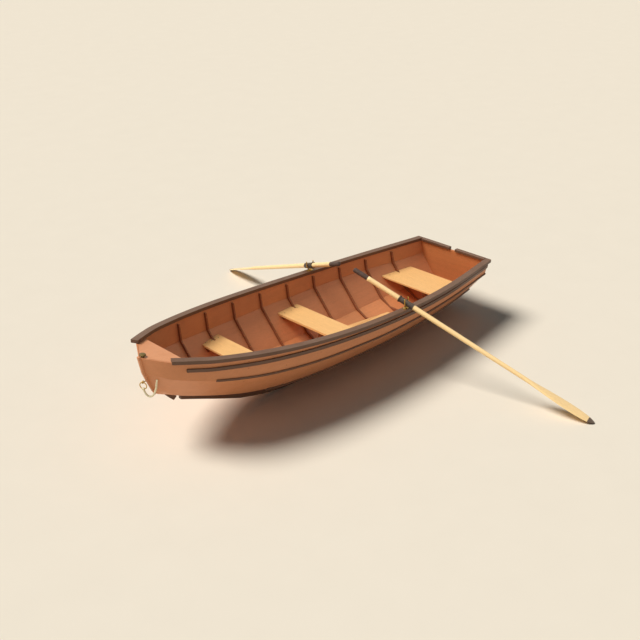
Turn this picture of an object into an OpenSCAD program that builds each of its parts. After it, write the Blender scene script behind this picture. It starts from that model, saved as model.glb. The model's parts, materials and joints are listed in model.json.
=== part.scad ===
// Wooden rowing boat with three strakes a side, two oars in rowlocks, three
// thwarts and a painter.  Millimetres.  +X to the bow, +Y to port, +Z up.
// The keel's flat bottom stands on z = 0.

/* [Hull] */
// length from the transom to the stem head
hull_length = 3721; // [3100:1:4465]
// breadth over the planking amidships
hull_beam = 1144; // [955:1:1370]
// height of the sheer amidships above the underside of the keel
hull_depth = 603; // [505:1:720]
// thickness of the planks
plank_t = 14; // [12:0.5:17]
// width of the keel's flat underside
keel_w = 60; // [50:1:72]

/* [Rails and strips] */
// width of the gunwale rails
rail_w = 59; // [49:1:70]
// depth of the gunwale rails
rail_h = 28; // [24:1:33]
// depth of the upper rubbing strips
strip_h = 34; // [29:1:41]
// how far the strips stand off the planks
strip_t = 12; // [10:0.5:14]

/* [Ribs and thwarts] */
// width of a rib, fore and aft
rib_w = 16; // [13:1:20]
// depth of a rib, inward from the planks
rib_d = 24; // [20:1:29]
// thickness of the thwarts
thwart_t = 20; // [17:1:24]
// thickness of the floorboards
floor_t = 12; // [10:1:14]

/* [Oars] */
// clear distance between the two handle ends
handle_gap = 172.9; // [140:0.1:210]
// distance from the rowlock to the blade tip
oar_out = 1800; // [1650:1:2150]
// radius of the oar shaft at the rowlock
oar_r = 22; // [18:0.5:26.5]
// angle of the oars aft of square to the boat
oar_sweep = 14.5; // [12:0.5:17]

/* [Hidden] */
kx = hull_length / 3721;
ky = hull_beam / 1144;
kz = hull_depth / 603;
x0 = 1650 * kx;
sub = 4;

// station tables: sheer, upper knuckle, lower knuckle and keel line
// x, sheer y, sheer z, rail overhang, knuckle-1 y, z, knuckle-2 y, z, keel z
T = [
  [   0, 405, 566, 33, 381, 432, 205, 214, 110],
  [ 330, 460, 564, 33, 429, 427, 254, 205,  88],
  [ 660, 509, 566, 33, 484, 434, 285, 196,  66],
  [ 990, 544, 573, 33, 520, 438, 299, 184,  50],
  [1320, 564, 585, 33, 541, 444, 303, 178,  40],
  [1650, 572, 603, 33, 548, 448, 303, 184,  35],
  [1980, 570, 625, 33, 543, 464, 297, 193,  38],
  [2310, 553, 653, 33, 524, 479, 281, 208,  50],
  [2640, 517, 687, 33, 489, 505, 251, 236,  91],
  [2970, 455, 726, 35, 435, 545, 200, 295, 197],
  [3300, 357, 771, 41, 340, 601, 128, 385, 330],
  [3465, 279, 796, 46, 262, 637,  92, 445, 408],
  [3590, 218, 815, 42, 188, 667,  60, 520, 470]];
// where the four hull lines end on the back of the stem: x, y, z
E = [[3718, 12, 826], [3692, 11, 693], [3641, 9, 560], [3607, 0, 484]];

NT = len(T);
function cr(a, b, c, d, t) = 0.5 * (2*b + (c - a)*t + (2*a - 5*b + 4*c - d)*t*t + (3*b - a - 3*c + d)*t*t*t);
function row(i) = i < 0 ? 2*T[0] - T[1] : i > NT - 1 ? 2*T[NT-1] - T[NT-2] : T[i];
function sta(u) = let(i = min(floor(u), NT - 2), t = u - i) cr(row(i-1), row(i), row(i+1), row(i+2), t);
NS = (NT - 1) * sub;                      // index of the last full station
function st(k) = sta(k / sub);
// the four outer hull points of station k, sheer to keel
function outer(k) = k > NS
  ? [for (e = E) [e.x*kx, e.y, e.z*kz]]
  : let(s = st(k)) [[s[0]*kx, s[1]*ky, s[2]*kz], [s[0]*kx, s[4]*ky, s[5]*kz],
                    [s[0]*kx, s[6]*ky, s[7]*kz], [s[0]*kx, 0, s[8]*kz]];
function nrm(a, b) = let(d = [b.y - a.y, b.z - a.z], l = norm(d)) [d[1]/l, -d[0]/l];
function shift(p, m, t) = [p.x, max(p.y + m[0]*t, 0.6), p.z + m[1]*t];
// points t inside the four outer points, mitred at the knuckles
function inset(o, t) =
  let(n0 = nrm(o[0], o[1]), n1 = nrm(o[1], o[2]), n2 = nrm(o[2], o[3]),
      m1 = (n0 + n1) / (1 + n0*n1), m2 = (n1 + n2) / (1 + n1*n2))
  [[o[0].x, max(o[0].y + t/n0[0], 0.6), o[0].z],
   shift(o[1], m1, t), shift(o[2], m2, t), [o[3].x, 0, o[3].z + t/n2[1]]];
// planks are measured square to their own run, so they thicken where the bow turns in
function run(k) = k >= NS ? 1.9 : let(a = outer(k), b = outer(k+1)) norm([b[0].x - a[0].x, b[0].y - a[0].y]) / (b[0].x - a[0].x);
OUT = [for (k = [0:NS+1]) outer(k)];
INN = [for (k = [0:NS+1]) inset(OUT[k], plank_t * min(run(k), 1.9))];
// faces that pieces seat on, a hair off the planks
seat = 0.4;
SO = [for (k = [0:NS+1]) inset(OUT[k], -seat)];
SI = [for (k = [0:NS+1]) inset(INN[k], seat)];
RIB = [for (k = [0:NS+1]) inset(INN[k], rib_d)];
// height or half-breadth of an inner or outer line at any x
function ly(A, j, x) = lookup(x, [for (a = A) [a[j].x, a[j].y]]);
function lz(A, j, x) = lookup(x, [for (a = A) [a[j].x, a[j].z]]);
function at(A, x) = [for (j = [0:3]) [x, ly(A, j, x), lz(A, j, x)]];
// half-breadth inside section s at height z
function yat(s, z) = z >= s[1].z ? let(t = (z - s[1].z)/(s[0].z - s[1].z)) s[1].y + t*(s[0].y - s[1].y)
  : z >= s[2].z ? let(t = (z - s[2].z)/(s[1].z - s[2].z)) s[2].y + t*(s[1].y - s[2].y)
  : let(t = (z - s[3].z)/(s[2].z - s[3].z)) max(t, 0)*s[2].y;
function zat(s, y) = y <= s[2].y ? s[3].z + (s[2].z - s[3].z)*y/s[2].y : s[2].z;
function mir(r) = [for (p = r) [p.x, -p.y, p.z]];

function mean(r) = ([for (p = r) 1]*r)/len(r);
function facing(r) = let(c = mean(r), n = len(r)) [for (p = r) 1]*[for (j = [0:n-1]) cross(r[j] - c, r[(j+1)%n] - c)];
// solid through a list of rings, each a convex loop of the same length; d picks the diagonal that splits each patch
module loft(R, d = 0) {
  k = len(R[0]); n = len(R);
  F = concat([[for (j = [k-1:-1:0]) j]], [[for (j = [0:k-1]) (n-1)*k + j]],
      [for (i = [0:n-2]) for (j = [0:k-1]) let(a = i*k + j, b = i*k + (j+1)%k)
        each d == 0 ? [[a, b, b + k], [a, b + k, a + k]] : [[a, b, a + k], [b, b + k, a + k]]]);
  out = facing(R[0])*(mean(R[1]) - mean(R[0])) < 0;
  polyhedron(points = [for (r = R) each r], faces = out ? F : [for (f = F) [for (i = [len(f)-1:-1:0]) f[i]]]);
}
module sides(R) { loft(R); mirror([0, 1, 0]) loft(R); }
module place() { translate([-x0, 0, 0]) children(); }

// ---- planking
function strake(j) = [for (k = [0:NS+1]) [OUT[k][j], INN[k][j], INN[k][j+1], OUT[k][j+1]]];
module sheer_strake_port() { color([0.62, 0.36, 0.22]) place() loft(strake(0)); }
module sheer_strake_starboard() { color([0.62, 0.36, 0.22]) place() mirror([0, 1, 0]) loft(strake(0)); }
module middle_strake_port() { color([0.6, 0.34, 0.21]) place() loft(strake(1), 1); }
module middle_strake_starboard() { color([0.6, 0.34, 0.21]) place() mirror([0, 1, 0]) loft(strake(1), 1); }
module bottom_strake_port() { color([0.64, 0.38, 0.24]) place() loft(strake(2)); }
module bottom_strake_starboard() { color([0.64, 0.38, 0.24]) place() mirror([0, 1, 0]) loft(strake(2)); }

// ---- transom between the planks
transom_t = 20;
TI = [for (k = [0:2]) inset(INN[k], 2*seat)];
module transom() {
  color([0.66, 0.36, 0.18]) place()
    loft([for (x = [transom_t, 0]) let(s = at(TI, x)) [[x, s[0].y, s[0].z], [x, s[1].y, s[1].z], [x, s[2].y, s[2].z], [x, 0, s[3].z],
      [x, -s[2].y, s[2].z], [x, -s[1].y, s[1].z], [x, -s[0].y, s[0].z]]]);
}

// ---- stem: x and z of the back edge, half-width, depth forward
ST = [[3719, 836, 12, 15], [3718, 826, 12, 15], [3705, 760, 12, 15], [3692, 693, 11, 15], [3667, 625, 10, 14],
      [3641, 560, 9, 13], [3623, 517, 8, 12], [3605, 480, 7, 10]];
module stem() {
  color([0.68, 0.42, 0.28]) place() translate([seat, 0, 0]) difference() {
    loft([for (s = ST) [[s[0]*kx, s[2], s[1]*kz], [s[0]*kx, -s[2], s[1]*kz],
                        [s[0]*kx + s[3], -s[2]*0.8, s[1]*kz - 1], [s[0]*kx + s[3], s[2]*0.8, s[1]*kz - 1]]]);
    translate([ring_x - 70, 0, eye_z]) rotate([0, 90, 0]) cylinder(r = shank_r + 0.1, h = 70, $fn = 40);
  }
}

// ---- keel: x and height of the underside, half-width factor
KB = [[70, 6, 0.8], [95, 0, 1], [660, 0, 1], [1320, 0, 1], [1980, 0, 1], [2112, 0, 0.98], [2228, 4, 0.95], [2346, 13, 0.9], [2460, 27, 0.85],
      [2574, 46, 0.8], [2792, 102, 0.7], [3000, 182, 0.6], [3198, 265, 0.55], [3293, 304, 0.5], [3389, 343, 0.5]];
function keelring(x, zb, h) = let(s = at(SO, x), m = (s[2].z - s[3].z)/s[2].y, zt = s[3].z)
  [[x, h, zb], [x, h, zt + h*m], [x, 0, zt], [x, -h, zt + h*m], [x, -h, zb]];
// its top follows the planks from station to station
function kprof(c, x) = lookup(x/kx, [for (b = KB) [b[0], b[c]]]);
KX = concat([KB[0][0]*kx, KB[1][0]*kx], [for (o = OUT) if (o[3].x > (KB[1][0] + 20)*kx && o[3].x < (KB[len(KB)-1][0] - 15)*kx) o[3].x], [KB[len(KB)-1][0]*kx]);
module keel() {
  color([0.36, 0.24, 0.18]) place() loft([for (x = KX) keelring(x, kprof(1, x)*kz, keel_w/2*kprof(2, x))]);
}
FB = [[3428, 384, 12], [3454, 364, 12], [3480, 388, 12], [3523, 434, 12]];
module forefoot() {
  color([0.36, 0.24, 0.18]) place() loft([for (i = [3:-1:0]) let(b = FB[i]) keelring(b[0]*kx, b[1]*kz, b[2])]);
}

// ---- gunwale rails on the sheer
function railpt(k) = let(s = st(k)) [s[0]*kx, s[1]*ky + s[3], s[2]*kz + seat];
function railnrm(k) = let(a = railpt(k == 0 ? 0 : k - 1), b = railpt(k == 0 ? 1 : k), d = [b.x - a.x, b.y - a.y], l = norm(d)) [d[1]/l, -d[0]/l];
function rail(k) = let(p = railpt(k), n = railnrm(k), q = k == 0 ? [0, -rail_w] : n*rail_w)
  [p, [p.x + q[0], p.y + q[1], p.z], [p.x + q[0], p.y + q[1], p.z + rail_h], [p.x, p.y, p.z + rail_h]];
RAIL = concat([for (k = [0:NS]) rail(k)], [rail(NS) + 0.8*(rail(NS) - rail(NS-1))]);
// ---- rowlock position
px = 1412 * kx;
function railtop(x) = lookup(x, [for (r = RAIL) [r[3].x, r[3].z]]);
rt = railtop(px);
rail_tilt = atan((railtop(px + 30) - railtop(px - 30))/60);
ro = lookup(px, [for (r = RAIL) [r[3].x, r[3].y]]);
py = ro - rail_w/2;
pivot_h = 49;
pz = rt + pivot_h;
bore_r = 8.5;
module rail_port() {
  color([0.38, 0.27, 0.22]) place() difference() {
    loft(RAIL);
    translate([px, py, rt - rail_h - 6]) cylinder(r = bore_r, h = rail_h + 12, $fn = 48);
  }
}
module rail_starboard() {
  color([0.38, 0.27, 0.22]) place() mirror([0, 1, 0]) difference() {
    loft(RAIL);
    translate([px, py, rt - rail_h - 6]) cylinder(r = bore_r, h = rail_h + 12, $fn = 48);
  }
}
notch = 33;
module transom_rail() {
  z = RAIL[0][0].z; y = RAIL[0][1].y - 0.2;
  color([0.38, 0.27, 0.22]) place() for (s = [1, -1]) translate([-6, min(s*notch, s*y), z]) cube([42, y - notch, rail_h]);
}

// ---- rubbing strips
function along(a, b, d) = let(l = norm(b - a)) a + (b - a)*d/l;
function outn(a, b) = let(n = nrm(a, b)) [0, -n[0], -n[1]];
// the upper strip drops away from the rail towards the bow and narrows a little
function fwd(k) = max(0, OUT[k][0].x/kx - 2000)/1465;
function upstrip(k) = let(o = OUT[k], g = (32 + 22*fwd(k))*kz, a = along(o[0], o[1], g), b = along(o[0], o[1], g + strip_h*(1 - 0.15*fwd(k))), n = outn(o[0], o[1]))
  [a + n*seat*1.6, b + n*seat*1.6, b + n*strip_t, a + n*strip_t];
function knstrip(k, j, h, t) = let(o = OUT[k], a = along(o[j], o[j-1], h/2), b = along(o[j], o[j+1], h/2),
    n0 = outn(o[j-1], o[j]), n1 = outn(o[j], o[j+1]), m = (n0 + n1)/(1 + n0*n1))
  [a + n0*seat, o[j] + m*seat, b + n1*seat, b + n1*t, o[j] + m*t, a + n0*t];
module upper_strips() { color([0.38, 0.27, 0.22]) place() sides([for (k = [0:NS-3]) upstrip(k)]); }
module lower_strips() { color([0.38, 0.27, 0.22]) place() sides([for (k = [0:NS-8]) knstrip(k, 1, 18, 9)]); }
module bilge_strips() { color([0.34, 0.24, 0.2]) place() sides([for (k = [0:NS-15]) knstrip(k, 2, 30, 12)]); }

// ---- foredeck with its beam
dx = 3478 * kx;
function deckring(x, y, z, w) = [[x, y, z], [x, -y, z], [x, -w, z - 14], [x, w, z - 14]];
function deckat(s) = deckring(s[0].x, s[0].y - 1, s[0].z, yat(s, s[0].z - 14) - 1);
module foredeck() {
  color([0.78, 0.5, 0.34]) place() {
    loft(concat([deckat(at(SI, dx))], [for (k = [NS-3:NS]) if (SI[k][0].x > dx + 5) deckat(SI[k])],
      [let(s = at(SI, E[0].x*kx - 13), y = s[0].y - 6) deckring(s[0].x, max(y, 2), s[0].z, max(yat(s, s[0].z - 14) - 8, 1))]));
    loft([for (x = [dx, dx + 22]) let(s = at(SI, x), z = s[0].z - 11) [[x, yat(s, z) - 1, z], [x, -yat(s, z) + 1, z],
      [x, -yat(s, z - 40) + 1, z - 40], [x, yat(s, z - 40) - 1, z - 40]]]);
  }
}
module stem_cap() {
  cx = 3690*kx; cz = lz(SI, 0, cx);
  color([0.42, 0.36, 0.24]) place() translate([cx, 0, cz]) rotate([0, -atan((lz(SI, 0, cx + 14) - cz)/14), 0]) translate([0, 0, seat]) {
    cylinder(r = 14, h = 12, $fn = 40);
    translate([0, 0, 8]) rotate_extrude($fn = 48) polygon([[0, 0], [14, 0], [24, 5], [25, 10], [22, 15], [12, 18], [0, 19]]);
  }
}

// ---- ribs
rib_x = [for (i = [0:8]) (414 + 330*i)*kx];
floor_z = 160*kz + plank_t - 14;
function ribpts(x, fz) = let(s = at(SI, x), q = at(RIB, x), zt = s[0].z - 22, bb = min(172*ky, s[2].y*0.66, (fz - 10 - s[3].z)/(s[2].z - s[3].z)*s[2].y))
  [[x, yat(s, zt), zt, yat(s, zt) - rib_d*0.9, zt], [x, s[1].y, s[1].z, q[1].y, q[1].z], [x, s[2].y, s[2].z, q[2].y, max(q[2].z, fz + 2)],
   [x, bb, zat(s, bb), bb, fz], [x, 20, zat(s, 20), 20, fz], [x, 0, s[3].z, 0, fz]];
function ribfz(i) = let(z = lz(INN, 3, rib_x[i])) i >= 1 && i <= 6 ? max(floor_z, z + 40) : z + 45;
module rib(i) {
  x = rib_x[i]; fz = ribfz(i);
  A = ribpts(x - rib_w/2, fz); B = ribpts(x + rib_w/2, fz);
  P = [for (j = [0:5]) [[A[j][0], A[j][1], A[j][2]], [B[j][0], B[j][1], B[j][2]], [B[j][0], B[j][3], B[j][4]], [A[j][0], A[j][3], A[j][4]]]];
  loft(concat(P, [for (j = [4:-1:0]) mir(P[j])]));
}
module ribs() { color([0.4, 0.22, 0.12]) place() for (i = [0:8]) rib(i); }

// ---- thwarts: aft edge, fore edge, top height
TH = [[231, 604, 363], [1673, 1924, 398], [2640, 2850, 466]];
module thwart(i) {
  a = TH[i][0]*kx; b = TH[i][1]*kx; z = TH[i][2]*kz; n = 5;
  difference() {
    loft([for (k = [0:n]) let(x = a + (b - a)*k/n, s = at(INN, x), y = yat(s, z) - 3, w = yat(s, z - thwart_t) - 3)
      [[x, y, z], [x, -y, z], [x, -w, z - thwart_t], [x, w, z - thwart_t]]]);
    for (r = rib_x) if (r > a - 15 && r < b + 15) for (m = [0, 1]) mirror([0, m, 0])
      translate([r - rib_w/2 - 2, yat(at(RIB, r), z - thwart_t) - 4, z - thwart_t - 5]) cube([rib_w + 4, 80, thwart_t + 10]);
  }
}
module thwart_stern() { color([0.9, 0.7, 0.45]) place() thwart(0); }
module thwart_middle() { color([0.9, 0.7, 0.45]) place() thwart(1); }
module thwart_bow() { color([0.9, 0.7, 0.45]) place() thwart(2); }
// cleats under the thwart ends: a short block each end, inside the ribs
module thwart_cleats() {
  color([0.4, 0.24, 0.15]) place() for (t = TH) for (m = [0, 1]) mirror([0, m, 0]) {
    a = t[0]*kx; b = t[1]*kx; z = t[2]*kz - thwart_t; h = 36;
    near = [for (r = rib_x) if (r > a - 15 && r < b + 15) r];
    for (f = [0.2, 0.8]) let(x = a + (b - a)*f, c = min([for (r = near) abs(r - x)]))
      if (c > 45) loft([for (q = [x - 28, x + 28]) let(s = at(SI, q))
        [[q, yat(s, z) - seat, z], [q, yat(s, z) - 60, z], [q, yat(s, z - h) - 14, z - h], [q, yat(s, z - h) - seat, z - h]]]);
  }
}
module thwart_posts() {
  color([0.36, 0.2, 0.13]) place() {
    translate([rib_x[0] - 18, -18, ribfz(0)]) cube([36, 36, TH[0][2]*kz - thwart_t - ribfz(0)]);
    translate([1850*kx - 18, -18, floor_z + floor_t + 0.6]) cube([36, 36, TH[1][2]*kz - thwart_t - floor_z - floor_t - 0.6]);
  }
}

// ---- floorboards on the floor timbers
slat_w = 62; slat_g = 4;
module floorboards() {
  color([0.9, 0.7, 0.45]) place() translate([0, 0, floor_z + 0.3]) linear_extrude(floor_t) intersection() {
    for (j = [-2:2]) translate([790*kx, j*(slat_w + slat_g) - slat_w/2]) square([1760*kx, slat_w]);
    offset(r = 14, $fn = 32) offset(delta = -14) polygon([[870*kx, 82*ky], [1336*kx, 157*ky], [1700*kx, 166*ky], [2300*kx, 150*ky], [2530*kx, 110*ky],
      [2530*kx, -110*ky], [2300*kx, -150*ky], [1700*kx, -166*ky], [1336*kx, -157*ky], [870*kx, -82*ky]]);
  }
}

// ---- rowlocks
pin_r = 6.5; pin_c = 6.6; collar_r = oar_r + 3; bar_r = 5;
module rowlock_sockets() {
  color([0.72, 0.58, 0.28]) place() for (m = [0, 1]) mirror([0, m, 0]) translate([px, py, rt]) difference() {
    union() {
      rotate([0, -rail_tilt, 0]) translate([-30, -17, seat]) cube([60, 34, 4]);
      translate([0, 0, -rail_h + 1]) cylinder(r = bore_r - 0.1, h = rail_h, $fn = 48);
    }
    translate([0, 0, -rail_h - 5]) cylinder(r = pin_c, h = rail_h + 20, $fn = 48);
  }
}
// the U is drawn square to the oar, and the collar seats in its bottom
horn_r = collar_r + 0.6;
u_z = -3.05;
module rowlock() {
  translate([0, 0, -pivot_h - 0.5 - rail_h + 3]) cylinder(r = pin_r, h = rail_h + 8, $fn = 48);
  translate([0, 0, -pivot_h + 5.5]) cylinder(r1 = 11, r2 = 8, h = pivot_h - 5.5 + u_z - horn_r - bar_r, $fn = 40);
  translate([0, 0, u_z]) rotate([0, 90, 0]) rotate([0, 0, -90]) rotate_extrude(angle = 180, $fn = 60) translate([horn_r + bar_r, 0]) circle(r = bar_r, $fn = 24);
  for (s = [1, -1]) translate([0, s*(horn_r + bar_r), u_z]) {
    rotate([s*-5, 0, 0]) { cylinder(r = bar_r, h = 42, $fn = 24); translate([0, 0, 42]) sphere(r = bar_r, $fn = 24); }
  }
}
module at_port() { place() translate([px, py, pz]) rotate([0, 0, 90 + oar_sweep]) children(); }
module rowlock_port() { color([0.75, 0.6, 0.28]) at_port() rowlock(); }
module rowlock_starboard() { color([0.75, 0.6, 0.28]) mirror([0, 1, 0]) at_port() rowlock(); }

// ---- oars, drawn along +X outboard of the rowlock
dip = asin((pz - 5.2)/oar_out);
oar_in = (py - handle_gap/2)/(cos(oar_sweep)*cos(dip));
module along_x(a, b, r1, r2) { translate([a, 0, 0]) rotate([0, 90, 0]) cylinder(r1 = r1, r2 = r2, h = b - a, $fn = 48); }
blade_a = oar_out - 640; tip_a = oar_out - 56;
// blade outline: distance from the tip, half-width
BL = [[640, 16], [560, 27], [450, 43], [340, 54], [240, 58], [150, 55], [90, 47], [45, 35], [14, 20], [0, 6]];
function bw(d) = lookup(d, [for (i = [len(BL)-1:-1:0]) BL[i]]);
module plate(d0, d1) {
  D = concat([d0], [for (b = BL) if (b[0] < d0 && b[0] > d1) b[0]], [d1]);
  translate([oar_out, 0, -4.5]) linear_extrude(9) polygon(concat([for (d = D) [-d, bw(d)]], [for (i = [len(D)-1:-1:0]) [-D[i], -bw(D[i])]]));
}
module oar() {
  along_x(-oar_in + 146, -90, oar_r - 0.5, oar_r);
  along_x(-90, 90, oar_r, oar_r);
  along_x(90, blade_a, oar_r, 18);
  along_x(blade_a, oar_out - 300, 18, 5);
  plate(640, 56);
}
module grip() { along_x(-oar_in + 14, -oar_in + 146, oar_r - 2, oar_r - 1); translate([-oar_in + 14, 0, 0]) sphere(r = oar_r - 2, $fn = 48); }
module collar() {
  difference() {
    union() { along_x(-62, 72, collar_r, collar_r); along_x(-74, -60, collar_r + 5, collar_r + 5); }
    along_x(-80, 80, oar_r + 0.15, oar_r + 0.15);
  }
}
module on_oar() { at_port() rotate([0, dip, 0]) children(); }
module collar_port() { color([0.22, 0.2, 0.18]) on_oar() collar(); }
module collar_starboard() { color([0.22, 0.2, 0.18]) mirror([0, 1, 0]) on_oar() collar(); }
module oar_port() { color([0.92, 0.74, 0.5]) on_oar() oar(); }
module oar_starboard() { color([0.92, 0.74, 0.5]) mirror([0, 1, 0]) on_oar() oar(); }
module grip_port() { color([0.3, 0.22, 0.18]) on_oar() grip(); }
module grip_starboard() { color([0.3, 0.22, 0.18]) mirror([0, 1, 0]) on_oar() grip(); }
module tip_port() { color([0.35, 0.27, 0.22]) on_oar() plate(56, 0); }
module tip_starboard() { color([0.35, 0.27, 0.22]) mirror([0, 1, 0]) on_oar() plate(56, 0); }

// ---- bow ring on its eye bolt, and painter
ring_z = 591*kz; ring_x = 3706*kx; ring_r = 27.5; ring_t = 3.6;
eye_r = 9; eye_t = 3.5; shank_r = 4;
// the ring hangs on the lower side of the eye
eye_z = ring_z + ring_r - ring_t + eye_r - eye_t - 0.3;
module stem_eye() {
  color([0.75, 0.62, 0.28]) place() translate([ring_x + 1, 0, eye_z]) {
    rotate([90, 0, 0]) rotate_extrude($fn = 40) translate([eye_r, 0]) circle(r = eye_t, $fn = 20);
    translate([-39, 0, 0]) rotate([0, 90, 0]) cylinder(r = shank_r, h = 31, $fn = 40);
  }
}
module bow_ring() {
  color([0.78, 0.64, 0.28]) place() translate([ring_x + 1, 0, ring_z]) rotate([0, 90, 25]) rotate_extrude($fn = 60) translate([ring_r, 0]) circle(r = ring_t, $fn = 20);
}
rope_r = 7.5;
// painter route from the ring to its hole in the plank: x, y, z
PR = [[3707, 0, 559.5], [3704, 3, 546.5], [3701, 6.5, 534], [3697, 11.5, 521.5], [3691.5, 17.5, 510.5], [3684, 25.5, 502.5],
  [3675.5, 35, 500], [3667, 44.5, 505], [3660.5, 51.5, 515], [3655.5, 57, 526.5], [3652, 61, 538.5], [3649, 64.5, 551.5], [3646, 67.5, 564.5],
  [3644.5, 70, 578], [3644, 73, 591], [3643.5, 75.5, 604.5], [3643, 78, 618], [3640.5, 79, 631.5], [3636, 78.5, 644]];
function prp(i) = let(p = PR[i]) [p.x + 3721*(kx - 1), p.y, p.z + 560*(kz - 1)];
function unit(v) = v/norm(v);
// outer face of the middle strake where the rope goes in
hole_a = OUT[NS][1]; hole_b = OUT[NS+1][1]; hole_c = OUT[NS+1][2];
hole_n = unit(cross(hole_b - hole_a, hole_c - hole_a));
module painter() {
  n = len(PR);
  P = [for (k = [0:(n-1)*2]) if (k != (n-1)*2 - 1) let(i = min(floor(k/2), n - 2), t = k/2 - i) cr(prp(max(i-1, 0)), prp(i), prp(i+1), prp(min(i+2, n-1)), t)];
  e = unit(P[len(P)-1] - P[len(P)-2]);
  color([0.95, 0.9, 0.75]) place()
    loft([for (k = [0:len(P)-1]) let(d = k == 0 ? [0, 0, -1] : unit(P[min(k+1, len(P)-1)] - P[k-1]), u = unit(cross(d, [1, -1, 0.3])), v = cross(u, d))
      [for (a = [0:30:330]) let(q = P[k] + rope_r*(cos(a)*u + sin(a)*v)) k < len(P) - 1 ? q : q - e*((q - hole_a)*hole_n - seat)/(e*hole_n)]]);
}

sheer_strake_port();
sheer_strake_starboard();
middle_strake_port();
middle_strake_starboard();
bottom_strake_port();
bottom_strake_starboard();
transom();
stem();
keel();
forefoot();
rail_port();
rail_starboard();
transom_rail();
upper_strips();
lower_strips();
bilge_strips();
foredeck();
stem_cap();
ribs();
thwart_stern();
thwart_middle();
thwart_bow();
thwart_cleats();
thwart_posts();
floorboards();
rowlock_sockets();
rowlock_port();
rowlock_starboard();
collar_port();
collar_starboard();
oar_port();
oar_starboard();
grip_port();
grip_starboard();
tip_port();
tip_starboard();
stem_eye();
bow_ring();
painter();
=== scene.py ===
import json
import math

import bpy
import bmesh
import numpy as np
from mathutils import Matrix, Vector
from mathutils.bvhtree import BVHTree

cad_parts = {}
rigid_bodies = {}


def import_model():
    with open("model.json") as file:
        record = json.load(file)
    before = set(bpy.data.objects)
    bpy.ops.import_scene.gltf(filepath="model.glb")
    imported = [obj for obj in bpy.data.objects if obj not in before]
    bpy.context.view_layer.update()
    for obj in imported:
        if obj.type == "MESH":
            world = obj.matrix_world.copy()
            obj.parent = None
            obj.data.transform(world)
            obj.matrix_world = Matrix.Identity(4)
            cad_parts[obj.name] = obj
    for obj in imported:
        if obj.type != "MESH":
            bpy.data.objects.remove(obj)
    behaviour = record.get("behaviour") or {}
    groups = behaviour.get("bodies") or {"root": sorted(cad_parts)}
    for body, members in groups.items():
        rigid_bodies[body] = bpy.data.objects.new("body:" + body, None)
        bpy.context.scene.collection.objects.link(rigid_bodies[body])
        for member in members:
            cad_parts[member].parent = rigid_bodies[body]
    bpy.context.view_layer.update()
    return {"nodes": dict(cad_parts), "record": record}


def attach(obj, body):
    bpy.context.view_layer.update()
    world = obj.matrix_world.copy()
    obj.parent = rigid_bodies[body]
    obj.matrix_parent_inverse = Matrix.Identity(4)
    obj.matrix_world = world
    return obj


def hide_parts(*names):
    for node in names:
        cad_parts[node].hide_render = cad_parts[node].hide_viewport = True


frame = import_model()
NODES = frame["nodes"]
BODY_OF = {n: b for b, group in frame["record"]["behaviour"]["bodies"].items() for n in group}

bpy.context.scene.view_settings.view_transform = "Standard"

# ---- camera
eye = Vector((5.558, 5.2176, 4.1862))
aim = Vector((-0.64057, -0.62540, -0.44558))
cam_data = bpy.data.cameras.new("camera")
cam_data.lens = 54.88
cam_data.sensor_width = 36.0
cam_data.clip_end = 200.0
camera = bpy.data.objects.new("camera", cam_data)
camera.location = eye
camera.rotation_euler = aim.to_track_quat("-Z", "Y").to_euler()
bpy.context.scene.collection.objects.link(camera)
bpy.context.scene.camera = camera


# ---- shader tools
class Link:
    """A node socket that takes part in Python arithmetic."""

    def __init__(self, tree, socket):
        self.tree, self.socket = tree, socket

    def node(self, kind, settings=None, inputs=None, out=0):
        """Adds a node of a type: its settings first, then the values or links of its sockets."""
        n = self.tree.nodes.new(kind)
        for key, value in (settings or {}).items():
            if key == "stops":
                ramp = n.color_ramp.elements
                for i, (place, colour) in enumerate(value):
                    e = ramp[i] if i < 2 else ramp.new(place)
                    e.position, e.color = place, (*colour, 1.0)
            else:
                setattr(n, key, value)
        for key, value in (inputs or {}).items():
            if isinstance(value, Link):
                self.tree.links.new(value.socket, n.inputs[key])
            else:
                n.inputs[key].default_value = value
        return Link(self.tree, n.outputs[out])

    def _math(self, op, a, b):
        return self.node("ShaderNodeMath", {"operation": op}, {0: a, 1: b})

    def __add__(self, o): return self._math("ADD", self, o)
    def __radd__(self, o): return self._math("ADD", o, self)
    def __sub__(self, o): return self._math("SUBTRACT", self, o)
    def __rsub__(self, o): return self._math("SUBTRACT", o, self)
    def __mul__(self, o): return self._math("MULTIPLY", self, o)
    def __rmul__(self, o): return self._math("MULTIPLY", o, self)
    def __pow__(self, o): return self._math("POWER", self, o)

    def noise(self, scale, detail=4.0, rough=0.55, distortion=0.0):
        return self.node("ShaderNodeTexNoise", None,
                         {"Vector": self, "Scale": scale, "Detail": detail,
                          "Roughness": rough, "Distortion": distortion})

    def spread(self, low, high):
        """0 below low, 1 above high, straight between."""
        return self.node("ShaderNodeMapRange", {"clamp": True},
                         {"Value": self, "From Min": low, "From Max": high})

    def stretch(self, scale, turn=(0, 0, 0)):
        return self.node("ShaderNodeMapping", None, {"Vector": self, "Scale": scale, "Rotation": turn})

    def blend(self, a, b):
        """Colour a where this is 0 and b where it is 1."""
        a, b = [(*c, 1.0) if isinstance(c, tuple) and len(c) == 3 else c for c in (a, b)]
        return self.node("ShaderNodeMix", {"data_type": "RGBA"}, {0: self, 6: a, 7: b}, out=2)


def srgb(r, g, b):
    """A colour written 0 to 255 on screen, as the linear values shaders take."""
    c = np.array([r, g, b]) / 255.0
    return tuple(float(v) for v in np.where(c <= 0.04045, c / 12.92, ((c + 0.055) / 1.055) ** 2.4))


def shade(colour, k):
    return tuple(min(1.0, c * k) for c in colour)


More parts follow.
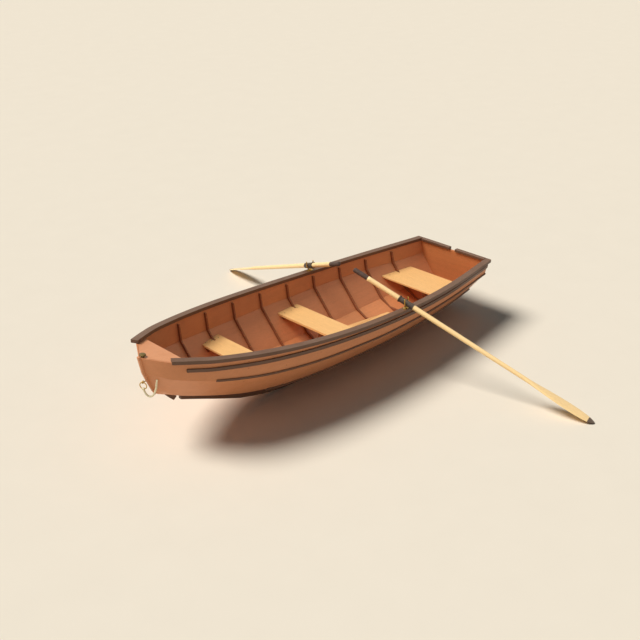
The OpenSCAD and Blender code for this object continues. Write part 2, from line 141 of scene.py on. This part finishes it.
def surface(name, build, coord="Object", **constants):
    """A material: build(coordinates) returns what varies, by socket name.
    The constants go straight on the shader."""
    m = bpy.data.materials.new(name)
    m.use_nodes = True
    tree = m.node_tree
    bsdf = tree.nodes["Principled BSDF"]
    for key, value in constants.items():
        bsdf.inputs[key.replace("_", " ")].default_value = value
    place = Link(tree, tree.nodes.new("ShaderNodeTexCoord").outputs[coord])
    for key, value in build(place).items():
        if key == "Height":
            height, strength, distance = value
            value = place.node("ShaderNodeBump", None, {"Height": height, "Strength": strength, "Distance": distance})
            key = "Normal"
        tree.links.new(value.socket, bsdf.inputs[key])
    return m


def wood(name, tone, along=(1, 26, 26), turn=(0, 0, 0), contrast=0.28, rough=0.38, coat=0.25, coord="Object",
         pore=1.0, dirt=0.2, spread=1.0):
    """Grain in long streaks, darker growth lines, fine pores, uneven varnish and dull rubbed patches."""
    def build(p):
        q = p.stretch(along, turn)
        broad = q.noise(1.3 * spread, 5, 0.6, 0.35).spread(0.3, 0.7)
        rings = q.noise(4.6 * spread, 6, 0.62, 0.8) * 19.0
        rings = rings.node("ShaderNodeMath", {"operation": "PINGPONG"}, {0: rings, 1: 1.0}).spread(0.2, 0.95)
        fine = q.noise(28.0 * spread, 3, 0.7)
        pores = fine.spread(0.56, 0.72)
        worn = p.noise(7.0, 4, 0.6).spread(0.5, 0.75)
        light, mid, dark = shade(tone, 1 + contrast * 0.45), tone, shade(tone, 1 - contrast)
        c = broad.blend(mid, light)
        c = (rings * 0.5).blend(c, (*dark, 1.0))
        c = (pores * 0.35 * pore).blend(c, (*shade(tone, 0.45), 1.0))
        c = (worn * dirt).blend(c, (*shade(tone, 0.72), 1.0))
        r = rough + 0.16 * (fine - 0.5) + 0.14 * worn
        h = fine * 0.6 + rings * 0.4
        return {"Base Color": c, "Roughness": r, "Height": (h, 0.22, 0.0009)}
    return surface(name, build, coord, Coat_Weight=coat, Coat_Roughness=0.18, IOR=1.46)


def metal(name, tone, rough=0.3, tarnish=0.5, dull=None):
    """Rubbed metal: tarnish in patches, fine scratches and a hammered unevenness."""
    dull = dull or shade(tone, 0.42)

    def build(p):
        patch = p.noise(38.0, 5, 0.62).spread(0.4, 0.72)
        scratch = p.stretch((60, 900, 900)).noise(1.0, 3, 0.5).spread(0.45, 0.8)
        c = (patch * tarnish).blend(tone, dull)
        r = rough + 0.24 * patch + 0.1 * scratch
        return {"Base Color": c, "Roughness": r, "Height": (p.noise(150.0, 3) + scratch * 0.4, 0.15, 0.0006)}
    return surface(name, build, Metallic=0.92)


def leather(name, tone, coord="Object", scale=240.0, rough=0.5):
    """Pebbled hide with rubbed lighter patches."""
    def build(p):
        cells = p.node("ShaderNodeTexVoronoi", {"feature": "DISTANCE_TO_EDGE"}, {"Vector": p, "Scale": scale})
        grain = cells.spread(0.0, 0.12)
        worn = p.noise(26.0, 5, 0.65).spread(0.45, 0.75)
        c = (worn * 0.5).blend(tone, (*shade(tone, 1.7), 1.0))
        c = ((1.0 - grain) * 0.5).blend(c, (*shade(tone, 0.4), 1.0))
        r = rough + 0.2 * (1.0 - worn)
        return {"Base Color": c, "Roughness": r, "Height": (grain, 0.4, 0.0008)}
    return surface(name, build, coord)


def rope_fibre(name, tone):
    """Laid rope: fibres across the strands, fading and small soiled spots. Reads the strand's own lengths."""
    def build(p):
        fibre = p.stretch((900, 26, 1)).noise(1.0, 3, 0.6)
        soil = p.stretch((30, 2, 1)).noise(1.0, 4, 0.6).spread(0.5, 0.8)
        c = fibre.spread(0.3, 0.75).blend(shade(tone, 0.78), tone)
        c = (soil * 0.35).blend(c, (*shade(tone, 0.6), 1.0))
        return {"Base Color": c, "Roughness": 0.85 + 0.1 * (fibre - 0.5), "Height": (fibre, 0.5, 0.0006)}
    return surface(name, build, "UV")


M = {
    "sheer": wood("sheer_mahogany", srgb(205, 132, 84), contrast=0.22, coat=0.1, rough=0.5),
    "middle": wood("middle_mahogany", srgb(208, 136, 90), contrast=0.22, coat=0.1, rough=0.5),
    "bottom": wood("bottom_mahogany", srgb(208, 134, 84), contrast=0.22, coat=0.1, rough=0.5),
    "deck": wood("deck_mahogany", srgb(212, 142, 96), contrast=0.2, coat=0.1, rough=0.5),
    "transom": wood("transom_mahogany", srgb(192, 116, 66),
                    coat=0.1, rough=0.5, along=(26, 1, 26), contrast=0.26),
    "dark": wood("dark_oak", srgb(100, 68, 48), contrast=0.35, rough=0.5, coat=0.08, dirt=0.35),
    "rib": wood("rib_oak", srgb(138, 78, 42), along=(30, 6, 6), contrast=0.25, rough=0.55, coat=0.03),
    "thwart": wood("thwart_pine", srgb(234, 182, 116),
                    along=(20, 1.1, 20), contrast=0.22, rough=0.5, coat=0.05, dirt=0.12),
    "boards": wood("floorboard_pine", srgb(232, 178, 114),
                    along=(1.1, 20, 20), contrast=0.22, rough=0.5, coat=0.05, dirt=0.15),
    "oar": wood("oar_spruce", srgb(255, 214, 150), along=(1.2, 6, 1), contrast=0.13,
                rough=0.36, coat=0.3, coord="UV", dirt=0.1, spread=1.2),
    "tip": wood("tip_stain", srgb(84, 66, 54),
                    along=(1.2, 6, 1), contrast=0.35, rough=0.45, coat=0.15, coord="UV"),
    "grip": leather("grip_hide", srgb(74, 54, 44), rough=0.55),
    "collar": leather("collar_hide", srgb(66, 52, 42), rough=0.45),
    "brass": metal("brass", srgb(196, 158, 78), 0.28, 0.35),
    "bronze": metal("bronze", srgb(120, 104, 66), 0.4, 0.6),
    "copper": metal("copper", srgb(184, 112, 74), 0.35, 0.6),
    "rope": rope_fibre("manila", srgb(244, 230, 190)),
    "thread": rope_fibre("waxed_thread", srgb(196, 176, 130)),
}


# ---- mesh tools
def new_piece(name, verts, faces, material, body, uv=None, smooth=True):
    """An object at the origin from plain arrays; uv is one pair for each corner of each face."""
    me = bpy.data.meshes.new(name)
    me.from_pydata(np.asarray(verts, float).tolist(), [], [list(map(int, f)) for f in faces])
    if uv is not None:
        me.uv_layers.new(name="UVMap").data.foreach_set("uv", np.asarray(uv, np.float32).ravel())
    me.validate()
    me.materials.append(M[material])
    o = bpy.data.objects.new(name, me)
    bpy.context.scene.collection.objects.link(o)
    if smooth:
        me.shade_smooth()
    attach(o, body)
    return o


def skin(rings, along, around, closed=(True, True)):
    """Points of a grid of rings, its quads with each ring closed on itself, and a fan over each end.
    along and around are the real lengths that the corners' uv pairs hold."""
    n, m, _ = rings.shape
    i, j = np.meshgrid(np.arange(n - 1), np.arange(m), indexing="ij")
    a, b = i * m + j, i * m + (j + 1) % m
    quads = np.stack([a, b, b + m, a + m], -1).reshape(-1, 4)
    s = np.broadcast_to(np.asarray(along)[:, None], (n, m + 1))
    c = np.broadcast_to(np.linspace(0, around, m + 1)[None, :], (n, m + 1))
    corners = ((0, 0), (0, 1), (1, 1), (1, 0))
    pairs = [np.stack([s[i + di, j + dj], c[i + di, j + dj]], -1) for di, dj in corners]
    uv = np.stack(pairs, 2).reshape(-1, 2)
    verts, faces, uvs = rings.reshape(-1, 3), quads.tolist(), uv.tolist()
    for end, flag in ((0, closed[0]), (n - 1, closed[1])):
        if flag:
            k = len(verts)
            verts = np.vstack([verts, rings[end].mean(0)])
            ids = end * m + np.arange(m)
            nxt = np.roll(ids, -1)
            first, second = (nxt, ids) if end == 0 else (ids, nxt)
            tri = np.stack([first, second, np.full(m, k)], -1)
            faces += tri.tolist()
            uvs += np.tile([along[end], 0.0], (3 * m, 1)).tolist()
    return verts, faces, uvs


def outward(o):
    """Turns every face of a closed mesh outwards."""
    bm = bmesh.new()
    bm.from_mesh(o.data)
    bmesh.ops.recalc_face_normals(bm, faces=bm.faces)
    bm.to_mesh(o.data)
    bm.free()
    return o


def dressed(node, material, edge=0.0016, sharp=32.0):
    """A CAD node's own shape, shown in its place: merged points, level faces joined, edges rounded."""
    me = NODES[node].data.copy()
    me.materials.clear()
    o = bpy.data.objects.new(node + "_dressed", me)
    bpy.context.scene.collection.objects.link(o)
    bm = bmesh.new()
    bm.from_mesh(me)
    bmesh.ops.remove_doubles(bm, verts=bm.verts, dist=2e-5)
    bmesh.ops.dissolve_limit(bm, angle_limit=math.radians(0.15), verts=bm.verts, edges=bm.edges)
    bm.to_mesh(me)
    bm.free()
    me.materials.append(M[material])
    if "custom_normal" in me.attributes:
        me.attributes.remove(me.attributes["custom_normal"])
    me.shade_smooth()
    me.set_sharp_from_angle(angle=math.radians(sharp))
    if edge:
        b = o.modifiers.new("round_over", "BEVEL")
        b.width, b.segments, b.limit_method, b.angle_limit = edge, 2, "ANGLE", math.radians(sharp)
        b.harden_normals = True
    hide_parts(node)
    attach(o, BODY_OF[node])
    return o


def smooth_line(points, n):
    """n points on the Catmull-Rom curve through the given ones, evenly spaced along it."""
    p = np.asarray(points, float)
    p = np.vstack([2 * p[0] - p[1], p, 2 * p[-1] - p[-2]])
    t = np.linspace(0, 1, 24, endpoint=False)[:, None]
    parts = [0.5 * (2 * b + (c - a) * t + (2 * a - 5 * b + 4 * c - d) * t ** 2
                    + (3 * b - a - 3 * c + d) * t ** 3)
             for a, b, c, d in zip(p[:-3], p[1:-2], p[2:-1], p[3:])]
    line = np.vstack(parts + [p[-2:-1]])
    s = np.r_[0, np.cumsum(np.linalg.norm(np.diff(line, axis=0), axis=1))]
    u = np.linspace(0, s[-1], n)
    return np.stack([np.interp(u, s, line[:, k]) for k in range(3)], -1), s[-1]


def frames_along(line):
    """Two unit vectors square to the line at each point, carried along it without twist."""
    t = np.gradient(line, axis=0)
    t /= np.linalg.norm(t, axis=1)[:, None]
    u = np.cross(t[0], [1.0, -1.0, 0.3])
    us = []
    for d in t:
        u = u - d * np.dot(u, d)
        u = u / np.linalg.norm(u)
        us.append(u)
    us = np.array(us)
    return us, np.cross(t, us)


def laid_rope(line, length, radius, pitch, sides=30, strands=3):
    """A twisted rope's rings: the radius is full on each strand's crown and dips between strands.
    The crowns turn once a pitch."""
    u, v = frames_along(line)
    s = np.linspace(0, length, len(line))[:, None]
    a = np.linspace(0, 2 * np.pi, sides, endpoint=False)[None, :]
    lobe = np.abs(np.cos(0.5 * strands * (a - 2 * np.pi * s / pitch)))
    r = radius * (0.8 + 0.2 * lobe ** 0.7)
    across = np.cos(a)[..., None] * u[:, None, :] + np.sin(a)[..., None] * v[:, None, :]
    return line[:, None, :] + r[..., None] * across


# ---- painter: from the bow ring down, round and up to its hole in the plank
X0 = 1.65
ROUTE = np.array([[3707, 0, 559.5], [3704, 3, 546.5], [3701, 6.5, 534], [3697, 11.5, 521.5],
                  [3691.5, 17.5, 510.5], [3684, 25.5, 502.5], [3675.5, 35, 500], [3667, 44.5, 505],
                  [3660.5, 51.5, 515], [3655.5, 57, 526.5], [3652, 61, 538.5], [3649, 64.5, 551.5],
                  [3646, 67.5, 564.5], [3644.5, 70, 578], [3644, 73, 591], [3643.5, 75.5, 604.5],
                  [3643, 78, 618], [3640.5, 79, 631.5], [3636, 78.5, 644]]) / 1000 - [X0, 0, 0]
ROPE_R = 0.0075
line, length = smooth_line(ROUTE, 220)
ROPE_RINGS, ROPE_PITCH = 220, 0.045
rope_rings = laid_rope(line, length, ROPE_R, ROPE_PITCH)
rv, rf, ru = skin(rope_rings, np.linspace(0, length, ROPE_RINGS), 0.047)
painter = outward(new_piece("painter_rope", rv, rf, "rope", "boat", ru))
ring_c, ring_r = np.array([2.057, 0.0, 0.591]), 0.0275
swing = math.radians(25)
side = np.array([-math.sin(swing), math.cos(swing), 0.0])
turns = np.linspace(0, 1, 150)
wrap_a = 2 * np.pi * 2.6 * turns + 0.4
bend = (turns - 0.5) * 0.62
spine = ring_c + ring_r * (np.sin(bend)[:, None] * side - np.cos(bend)[:, None] * np.array([0, 0, 1.0]))
rad_dir = (spine - ring_c) / ring_r
face_dir = np.array([math.cos(swing), math.sin(swing), 0.0])
wrap_line = spine + 0.0070 * (np.cos(wrap_a)[:, None] * rad_dir + np.sin(wrap_a)[:, None] * face_dir)
wrap_rings = laid_rope(wrap_line, 0.11, 0.0034, 0.02, 18)
wv, wf, wu = skin(wrap_rings, np.linspace(0, 0.11, 150), 0.02)
hitch = outward(new_piece("painter_hitch", wv, wf, "rope", "boat", wu))
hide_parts("painter")

# ---- floor and light
def floor_tone(p):
    return {"Base Color": p.noise(3.0, 2).spread(0.2, 0.8).blend(srgb(243, 231, 211), srgb(245, 233, 213))}


floor_mat = surface("studio_floor", floor_tone, Roughness=0.95)
floor_mat.node_tree.nodes["Principled BSDF"].inputs["Specular IOR Level"].default_value = 0.1
bpy.ops.mesh.primitive_plane_add(size=160, location=(0, 0, 0))
floor = bpy.context.object
floor.name = "studio_floor"
floor.data.materials.append(floor_mat)
world = bpy.data.worlds.new("studio")
bpy.context.scene.world = world
world.use_nodes = True
# the boat is lit by a dim cool sky; the eye, metal and gloss see the studio's pale backdrop instead
sky = world.node_tree
seen = Link(sky, sky.nodes.new("ShaderNodeLightPath").outputs["Is Camera Ray"])
gloss = Link(sky, seen.socket.node.outputs["Is Glossy Ray"])
clear = Link(sky, seen.socket.node.outputs["Is Transmission Ray"])
pale = (seen + gloss + clear).spread(0.0, 1.0)
background = sky.nodes["Background"]
sky.links.new(pale.blend((0.74, 0.96, 1.1), srgb(242, 232, 213)).socket, background.inputs["Color"])
sky.links.new((0.1 + pale * 0.9).socket, background.inputs["Strength"])


def lamp(name, energy, angle, towards, colour=(1, 1, 1)):
    data = bpy.data.lights.new(name, "SUN")
    data.energy, data.angle, data.color = energy, math.radians(angle), colour
    o = bpy.data.objects.new(name, data)
    o.rotation_euler = (-Vector(towards)).to_track_quat("-Z", "Y").to_euler()
    bpy.context.scene.collection.objects.link(o)
    return o


lamp("key", 3.35, 26, (0.49, -0.46, 1.0), (1.0, 0.985, 0.97))
fills = [lamp("fill_bow_port", 0.62, 110, (0.5, 0.7, 0.95)),
         lamp("fill_starboard", 0.22, 110, (-0.3, -0.9, 0.8))]

# ---- hull, fittings and joinery kept to their CAD shapes, with rounded edges
for part, finish, edge in [
    ("sheer_strake_port", "sheer", 0.0018), ("sheer_strake_starboard", "sheer", 0.0018),
    ("middle_strake_port", "middle", 0.0018), ("middle_strake_starboard", "middle", 0.0018),
    ("bottom_strake_port", "bottom", 0.0018), ("bottom_strake_starboard", "bottom", 0.0018),
    ("transom", "transom", 0.0015), ("stem", "deck", 0.002), ("foredeck", "deck", 0.0018),
    ("keel", "dark", 0.003), ("forefoot", "dark", 0.003),
    ("rail_port", "dark", 0.005), ("rail_starboard", "dark", 0.005),
    ("transom_rail", "dark", 0.005), ("upper_strips", "dark", 0.003),
    ("lower_strips", "dark", 0.0025), ("bilge_strips", "dark", 0.003),
    ("ribs", "rib", 0.0035), ("thwart_cleats", "rib", 0.002), ("thwart_posts", "rib", 0.003),
    ("thwart_stern", "thwart", 0.004), ("thwart_middle", "thwart", 0.004), ("thwart_bow", "thwart", 0.004),
    ("floorboards", "boards", 0.0025), ("rowlock_sockets", "brass", 0.001), ("stem_cap", "bronze", 0.0),
    ("rowlock_port", "brass", 0.0), ("rowlock_starboard", "brass", 0.0),
    ("stem_eye", "brass", 0.0), ("bow_ring", "brass", 0.0),
]:
    dressed(part, finish, edge)

# ---- oars
AZ, DIP = math.radians(104.5), math.radians(21.568)
PIVOT = np.array([1.412 - X0, 0.570843, 0.66689])
E1 = np.array([math.cos(AZ) * math.cos(DIP), math.sin(AZ) * math.cos(DIP), -math.sin(DIP)])
E2 = np.array([math.cos(AZ + math.pi / 2), math.sin(AZ + math.pi / 2), 0.0])
E3 = np.cross(E1, E2)
FLIP = np.array([1.0, -1.0, 1.0])


def on_oar(points, hand):
    """Points along, across and over the oar, in the boat's frame, to port (1) or starboard (-1)."""
    p = PIVOT + points[..., :1] * E1 + points[..., 1:2] * E2 + points[..., 2:] * E3
    return p if hand > 0 else p * FLIP


def lofted(name, s, wide, thick, power, material, body, hand, sides=40, ends=(True, True)):
    """Rings along the oar: at each length a rounded box, wide across and thick through.
    Its corners sharpen with power."""
    a = np.linspace(0, 2 * np.pi, sides, endpoint=False)[None, :]
    e = (2.0 / np.asarray(power))[:, None]
    y = np.sign(np.cos(a)) * np.abs(np.cos(a)) ** e * np.asarray(wide)[:, None]
    z = np.sign(np.sin(a)) * np.abs(np.sin(a)) ** e * np.asarray(thick)[:, None]
    x = np.broadcast_to(np.asarray(s)[:, None], y.shape)
    v, f, uv = skin(on_oar(np.stack([x, y, z], -1), hand), np.asarray(s), 0.12, ends)
    return outward(new_piece(name, v, f, material, body, uv))


BLADE_START = 1.16
# the blade's outline: distance from the tip and half-width
BLADE = np.array([[640, 18], [600, 21], [560, 27], [450, 42.5], [340, 53.5],
                  [240, 57.5], [150, 55], [90, 47.5], [56, 39.5], [45, 36],
                  [26, 27.5], [14, 20], [6, 12.5], [1, 4], [0, 0.6]]) / 1000


def blade_half(s):
    d = 1.8 - s
    return np.interp(d, BLADE[::-1, 0], BLADE[::-1, 1])


def oar_size(s):
    """Half-width, half-thickness and corner power along the oar.
    A round shaft swells and flattens into the blade."""
    shaft = np.interp(s, [-0.392, 0.09, BLADE_START], [0.0216, 0.022, 0.018])
    flat = np.interp(s, [BLADE_START, 1.3, 1.5, 1.76, 1.8], [0.018, 0.0115, 0.0058, 0.0045, 0.0035])
    w = np.where(s < BLADE_START, shaft, np.maximum(blade_half(s), 0.0006))
    t = np.where(s < BLADE_START, shaft, flat)
    return w, t, np.interp(s, [1.16, 1.4, 1.8], [2.0, 2.3, 2.6])


def revolved(name, profile, material, body, hand, sides=56, ends=(True, True)):
    """A closed outline of length and radius turned about the oar's axis."""
    prof = np.asarray(profile, float)
    a = np.linspace(0, 2 * np.pi, sides, endpoint=False)[None, :]
    x = np.broadcast_to(prof[:, :1], (len(prof), sides))
    pts = np.stack([x, prof[:, 1:] * np.cos(a), prof[:, 1:] * np.sin(a)], -1)
    run = np.r_[0, np.cumsum(np.linalg.norm(np.diff(prof, axis=0), axis=1))]
    v, f, uv = skin(on_oar(pts, hand), run, 0.14, ends)
    return outward(new_piece(name, v, f, material, body, uv))


for hand, word in ((1, "port"), (-1, "starboard")):
    body = word + "_oar"
    s = np.r_[np.linspace(-0.392, 1.16, 90), np.linspace(1.165, 1.744, 110)]
    w, t, power = oar_size(s)
    o = lofted("oar_" + word + "_shaft_and_blade", s, w, t, power, "oar", body, hand)
    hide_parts("oar_" + word)
    s = np.r_[np.linspace(1.7445, 1.79, 24), np.linspace(1.7915, 1.8, 10)]
    w, t, power = oar_size(s)
    o = lofted("oar_" + word + "_tip_guard", s, w, t, power, "tip", body, hand)
    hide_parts("tip_" + word)
    g = np.linspace(0, 1, 60)
    # the handle swells at its middle and rounds over at its end
    gx = -0.5405 + 0.148 * g
    gr = 0.0203 + 0.0010 * np.sin(np.pi * g) + 0.0004 * np.cos(2 * np.pi * 14 * g)
    gr *= np.sqrt(np.clip(1 - np.clip((0.09 - g) / 0.09, 0, 1) ** 2, 0.002, 1))
    o = revolved("oar_" + word + "_grip", np.stack([gx, gr], -1), "grip", body, hand)
    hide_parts("grip_" + word)
    # leather sleeve with turned edges, and the stop button at its inboard end
    body = word + "_collar"
    x = np.linspace(-0.062, 0.072, 90)
    k = (x + 0.062) / 0.134
    turned = np.exp(-(k / 0.04) ** 2) + np.exp(-((1 - k) / 0.04) ** 2)
    r = 0.02465 + 0.00035 * np.sin(2 * np.pi * 6 * k) * 0.4 + 0.0003 * turned
    prof = np.vstack([[[-0.062, 0.02217]], np.stack([x, r], -1), [[0.072, 0.02217]], [[-0.0619, 0.02217]]])
    o = revolved("collar_" + word + "_sleeve", prof[:-1], "collar", body, hand, ends=(False, False))
    q = np.linspace(0, np.pi, 26)
    button = np.stack([-0.0671 - 0.0064 * np.cos(q), 0.0255 + 0.0045 * np.sin(q)], -1)
    button = np.vstack([[[-0.0735, 0.02217]], button, [[-0.0607, 0.02217]]])
    revolved("collar_" + word + "_button", button, "collar", body, hand, ends=(False, False))
    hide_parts("collar_" + word)
    # a row of stitches along the sleeve's seam
    n = 24
    cx = np.linspace(-0.054, 0.066, n)
    u = np.linspace(0, 2 * np.pi, 8, endpoint=False)
    vv = np.linspace(0.15, np.pi - 0.15, 5)
    rise = np.sin(vv)[:, None]
    ball = np.stack([np.cos(vv)[:, None] + 0 * u, rise * np.cos(u), rise * np.sin(u)], -1)
    verts, faces, uvs = [], [], []
    for i, c in enumerate(cx):
        for lane in (-1, 1):
            tilt = 0.16 * lane + 1.9
            centre = np.array([c, 0.0249 * math.cos(tilt), 0.0249 * math.sin(tilt)])
            e_t = np.array([0.0, -math.sin(tilt), math.cos(tilt)])
            e_n = np.array([0.0, math.cos(tilt), math.sin(tilt)])
            e_x = np.array([1.0, 0, 0])
            pts = centre + ball[..., :1] * e_t * 0.0016 + ball[..., 1:2] * e_x * 0.0006 + ball[..., 2:] * e_n * 0.0006
            v, f, uv = skin(on_oar(pts, hand), np.linspace(0, 0.003, 5), 0.003)
            faces += [[k + len(verts) for k in q4] for q4 in f]
            verts += v.tolist()
            uvs += uv
    outward(new_piece("collar_" + word + "_stitches", verts, faces, "thread", body, uvs))

# ---- fastenings: copper roves where the ribs are nailed, copper nail heads on the planks, bronze screws in rails and thwarts
def dome(radius, height, sides=10, steps=3):
    """A low button head's rings from its foot to its crown, as points across, up and out."""
    k = np.linspace(0, np.pi / 2 * 0.93, steps + 1)
    a = np.linspace(0, 2 * np.pi, sides, endpoint=False)
    out = radius * np.cos(k)[:, None]
    return np.stack([out * np.cos(a), out * np.sin(a), height * np.sin(k)[:, None] + 0 * a], -1)


def heads(name, places, radius, height, material):
    """One mesh of button heads; a place is a point on the surface and its outward normal."""
    if not places:
        return None
    base = dome(radius, height)
    n, m, _ = base.shape
    cap = [[(n - 1) * m + j for j in range(m)]]
    quads = [[i * m + j, i * m + (j + 1) % m, (i + 1) * m + (j + 1) % m, (i + 1) * m + j]
             for i in range(n - 1) for j in range(m)]
    verts, faces = [], []
    for p, nrm in places:
        nrm = np.array(nrm) / np.linalg.norm(nrm)
        u = np.cross(nrm, [0.13, 0.35, 0.93])
        u /= np.linalg.norm(u)
        v = np.cross(nrm, u)
        pts = np.array(p) + nrm * 0.0001 + base[..., :1] * u + base[..., 1:2] * v + base[..., 2:] * nrm
        k = len(verts)
        verts += pts.reshape(-1, 3).tolist()
        faces += [[k + q for q in f] for f in quads + cap]
    return new_piece(name, verts, faces, material, "boat")


TREES = {}


def hit(nodes, start, direction, reach=2.0):
    """The nearest point where a ray meets any of the CAD nodes, with its normal turned against the ray."""
    best = None
    for node in nodes:
        if node not in TREES:
            me = NODES[node].data
            points = [v.co.copy() for v in me.vertices]
            TREES[node] = BVHTree.FromPolygons(points, [tuple(p.vertices) for p in me.polygons])
        p, nrm, _, dist = TREES[node].ray_cast(Vector(start), Vector(direction).normalized(), reach)
        if p is not None and (best is None or dist < best[2]):
            best = (p, nrm if nrm.dot(Vector(direction)) < 0 else -nrm, dist)
    return best


rail_spots, plank_spots, rib_spots, board_spots = [], [], [], []
for hand, word in ((1, "port"), (-1, "starboard")):
    for x in np.arange(-1.58, 1.86, 0.165):
        rail = "rail_" + word
        tries = (hit([rail], (x, hand * 1.2, z), (0, -hand, 0)) for z in (0.62, 0.72, 0.8))
        edge = next((e for e in tries if e is not None), None)
        if edge is None:
            continue
        top = hit([rail], (x, edge[0].y - hand * 0.03, 1.2), (0, 0, -1))
        if top is not None and abs(x - PIVOT[0]) > 0.06:
            rail_spots.append((top[0], top[1]))
    # nails through the planks into each rib: outside heads, inside roves on the rib's face
    for i in range(9):
        x = (414 + 330 * i) / 1000 - X0
        for z in (0.5, 0.56, 0.3, 0.38, 0.24, 0.64, 0.7):
            inside = hit(["ribs"], (x, hand * 0.02, z), (0, hand, 0))
            if inside is not None and inside[1].z > 0.02 and abs(inside[1].x) < 0.4:
                rib_spots.append((inside[0], inside[1]))
                planks = [board + "_strake_" + word for board in ("sheer", "middle", "bottom")]
                trim = ["upper_strips", "lower_strips", "bilge_strips", rail]
                outside = hit(planks, (x, hand * 1.4, z), (0, -hand, 0))
                free = hit(trim, (x, hand * 1.4, z), (0, -hand, 0))
                if outside is not None and (free is None or free[2] > outside[2]):
                    plank_spots.append((outside[0], outside[1]))
for node in ("thwart_stern", "thwart_middle", "thwart_bow"):
    lo = np.min([v.co for v in NODES[node].data.vertices], axis=0)
    hi = np.max([v.co for v in NODES[node].data.vertices], axis=0)
    for fx in (0.18, 0.5, 0.82):
        for fy in (0.06, 0.94):
            x, y = lo[0] + fx * (hi[0] - lo[0]), lo[1] + fy * (hi[1] - lo[1])
            top = hit([node], (x, y, 1.2), (0, 0, -1))
            if top is not None:
                board_spots.append((top[0], top[1]))
heads("rail_screws", rail_spots, 0.0042, 0.0012, "bronze")
heads("plank_nails", plank_spots, 0.0045, 0.0014, "copper")
heads("rib_roves", rib_spots, 0.005, 0.0016, "copper")
heads("thwart_screws", board_spots, 0.005, 0.0012, "bronze")

# the fills light the boat and leave the floor's shadow as the key light casts it
lit = bpy.data.collections.new("lit_by_fill")
for o in bpy.context.scene.objects:
    if o.type == "MESH" and o != floor:
        lit.objects.link(o)
for o in fills:
    o.light_linking.receiver_collection = lit
